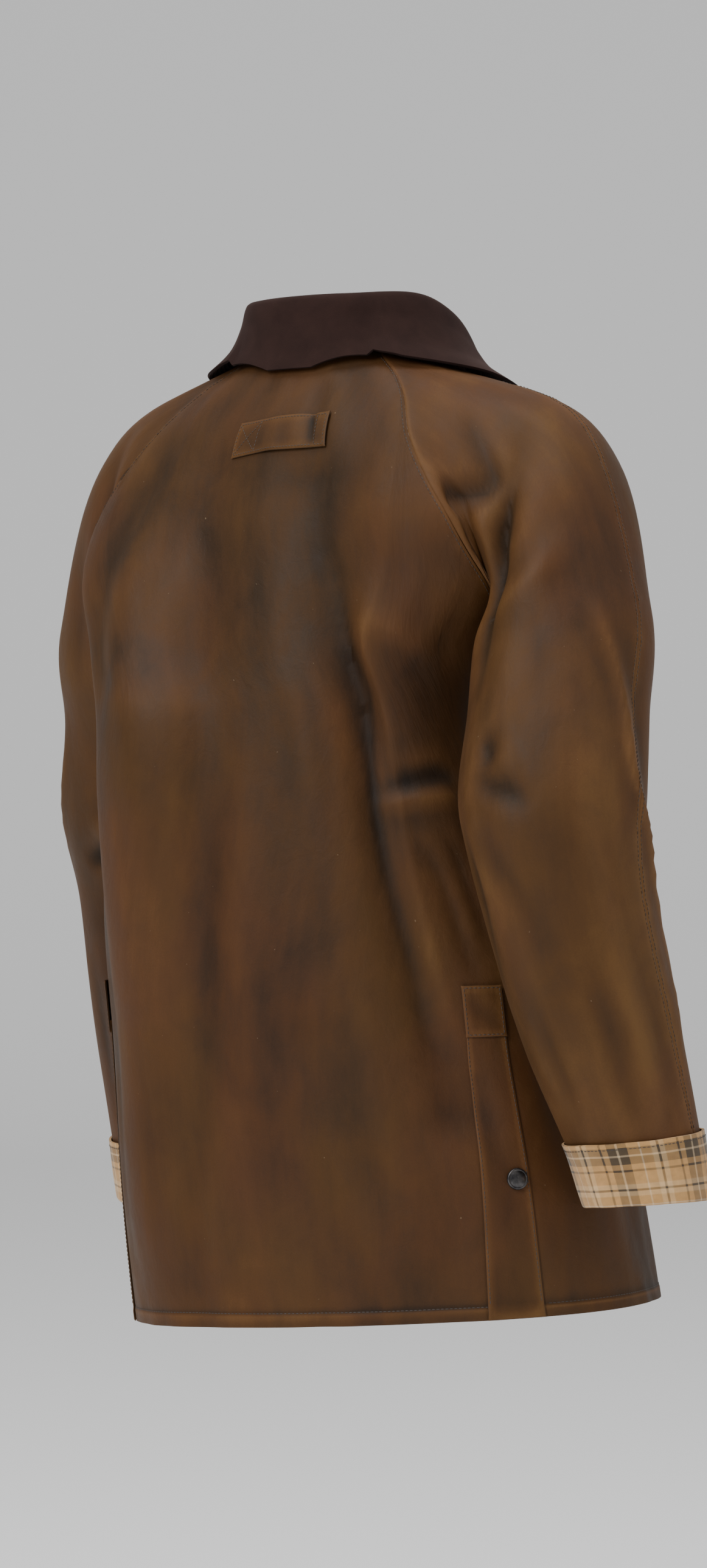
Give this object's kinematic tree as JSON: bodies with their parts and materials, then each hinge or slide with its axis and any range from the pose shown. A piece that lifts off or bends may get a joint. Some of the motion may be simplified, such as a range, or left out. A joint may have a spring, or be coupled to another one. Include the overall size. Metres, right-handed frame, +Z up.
{
  "type": "jacket",
  "caption": "Waxed cotton jacket with raglan sleeves, corduroy turn-down collar, turned-back check cuffs, studded back vents and a snap-studded lapped front.",
  "frame": {"origin": "in the middle of the neck opening, 13 mm below the neck seam at centre back, where the wearer's neck and shoulders carry the jacket", "axes": "+Z up, +Y towards the wearer's back, +X towards the wearer's left"},
  "size_m": [0.6119, 0.3526, 0.7623],
  "materials": {
    "waxed_cotton": "waxed, with a soft uneven sheen",
    "check_lining": "matt woven cotton check",
    "corduroy": "ribbed cotton pile",
    "gunmetal": "dark gunmetal plating, worn at the rim"
  },
  "bodies": {
    "root": {"back": "waxed_cotton", "front_right": "waxed_cotton", "front_left": "waxed_cotton", "sleeve_right_back": "waxed_cotton", "sleeve_right_front": "waxed_cotton", "sleeve_left_back": "waxed_cotton", "sleeve_left_front": "waxed_cotton", "cuff_right": "check_lining", "cuff_left": "check_lining", "collar": "corduroy", "vent_strip_right": "waxed_cotton", "vent_strip_left": "waxed_cotton", "vent_tab_right": "waxed_cotton", "vent_tab_left": "waxed_cotton", "label_loop": "waxed_cotton", "stud_vent_right": "gunmetal", "stud_vent_left": "gunmetal", "stud_front_1": "gunmetal", "stud_front_2": "gunmetal", "stud_front_3": "gunmetal", "stud_front_4": "gunmetal", "stud_front_5": "gunmetal"}
  },
  "joints": []
}
